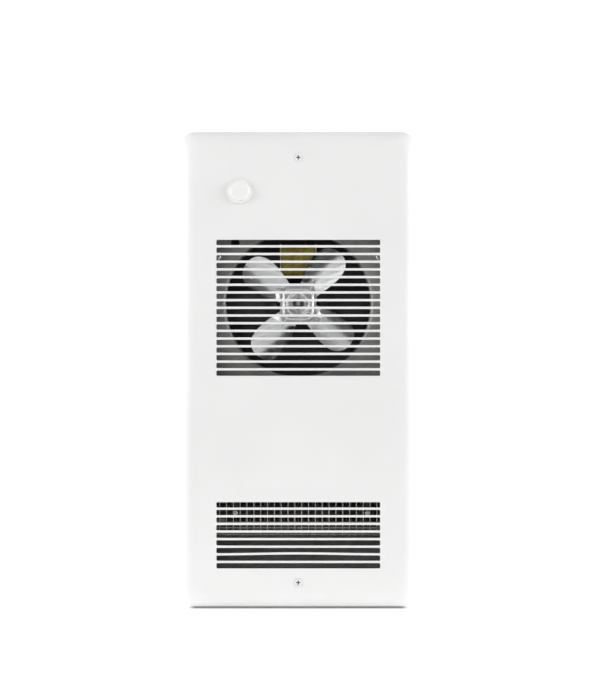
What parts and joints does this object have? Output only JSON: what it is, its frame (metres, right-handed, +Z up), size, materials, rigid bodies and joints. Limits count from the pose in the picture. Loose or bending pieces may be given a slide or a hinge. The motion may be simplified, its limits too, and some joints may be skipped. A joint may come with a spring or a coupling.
{
  "type": "recessed wall fan heater",
  "caption": "Recessed bathroom wall fan heater: white steel cover with slotted intake and outlet grilles, axial fan, finned element and thermostat knob in a galvanised wall box.",
  "frame": {"origin": "centre of the four mounting holes on the outside of the wall box's back", "axes": "+X to the viewer's right, +Y into the wall, +Z up; the cover's face looks along -Y"},
  "size_m": [0.266, 0.1326, 0.522],
  "materials": {
    "white_paint": "semi-gloss powder coat",
    "white_plastic": "satin moulded",
    "galvanised": "zinc-coated sheet",
    "zinc_screw": "bright zinc plating",
    "blade_aluminium": "bright rolled sheet",
    "hub_alloy": "die cast",
    "steel": "ground steel",
    "laminations": "varnished sheet stack",
    "coil_tape": "polyester film tape",
    "nylon": "natural nylon",
    "copper": "bare copper",
    "bronze": "sintered bronze",
    "rotor_steel": "turned steel and aluminium",
    "sheath_steel": "heat-darkened steel",
    "fin_steel": "heat-tinted steel",
    "ceramic_white": "glazed ceramic",
    "black_plastic": "moulded phenolic",
    "black_paint": "heat-proof matt paint",
    "guard_wire": "zinc-plated wire",
    "spring_steel": "phosphated spring steel",
    "foam_rubber": "closed-cell foam strip",
    "black_insulation": "wire insulation",
    "red_insulation": "wire insulation",
    "green_screw": "green passivated"
  },
  "bodies": {
    "heater": {"wall_box": "galvanised", "deck_tabs": "galvanised", "cover_brackets": "galvanised", "cover_clips": "spring_steel", "fan_deck": "galvanised", "deck_screws": "zinc_screw", "front_cover": "white_paint", "cover_screws": "zinc_screw", "air_divider": "galvanised", "divider_seal": "foam_rubber", "motor_bracket": "galvanised", "bracket_rivets": "zinc_screw", "stator_stack": "laminations", "coil_core": "laminations", "coil_bobbin": "nylon", "coil_winding": "coil_tape", "shading_rings": "copper", "front_bridge": "steel", "rear_bridge": "steel", "shaft_bushes": "bronze", "motor_screws": "zinc_screw", "motor_nuts": "zinc_screw", "motor_spacers": "steel", "element_sheath": "sheath_steel", "element_fins": "fin_steel", "element_brackets": "galvanised", "element_insulators": "ceramic_white", "element_pins": "steel", "limit_switch": "black_plastic", "limit_bracket": "galvanised", "outlet_guard": "guard_wire", "guard_screws": "zinc_screw", "air_deflector": "black_paint", "thermostat_body": "black_plastic", "thermostat_nut": "steel", "terminal_block": "nylon", "terminal_screws": "zinc_screw", "black_leads": "black_insulation", "red_leads": "red_insulation", "ground_screw": "green_screw"},
    "fan": {"fan_blades": "blade_aluminium", "fan_hub": "hub_alloy", "fan_clip": "spring_steel", "motor_shaft": "steel", "rotor_core": "rotor_steel", "shaft_collars": "nylon"},
    "knob": {"thermostat_knob": "white_plastic", "thermostat_spindle": "steel"}
  },
  "joints": [
    {"name": "fan_spin", "type": "hinge", "parent": "heater", "child": "fan", "pos_m": [0, -0.08, 0.072], "axis": [0, 1, 0], "continuous": true},
    {"name": "thermostat_turn", "type": "hinge", "parent": "heater", "child": "knob", "pos_m": [-0.064, -0.1, 0.194], "axis": [0, 1, 0], "range_deg": [0, 270]}
  ]
}
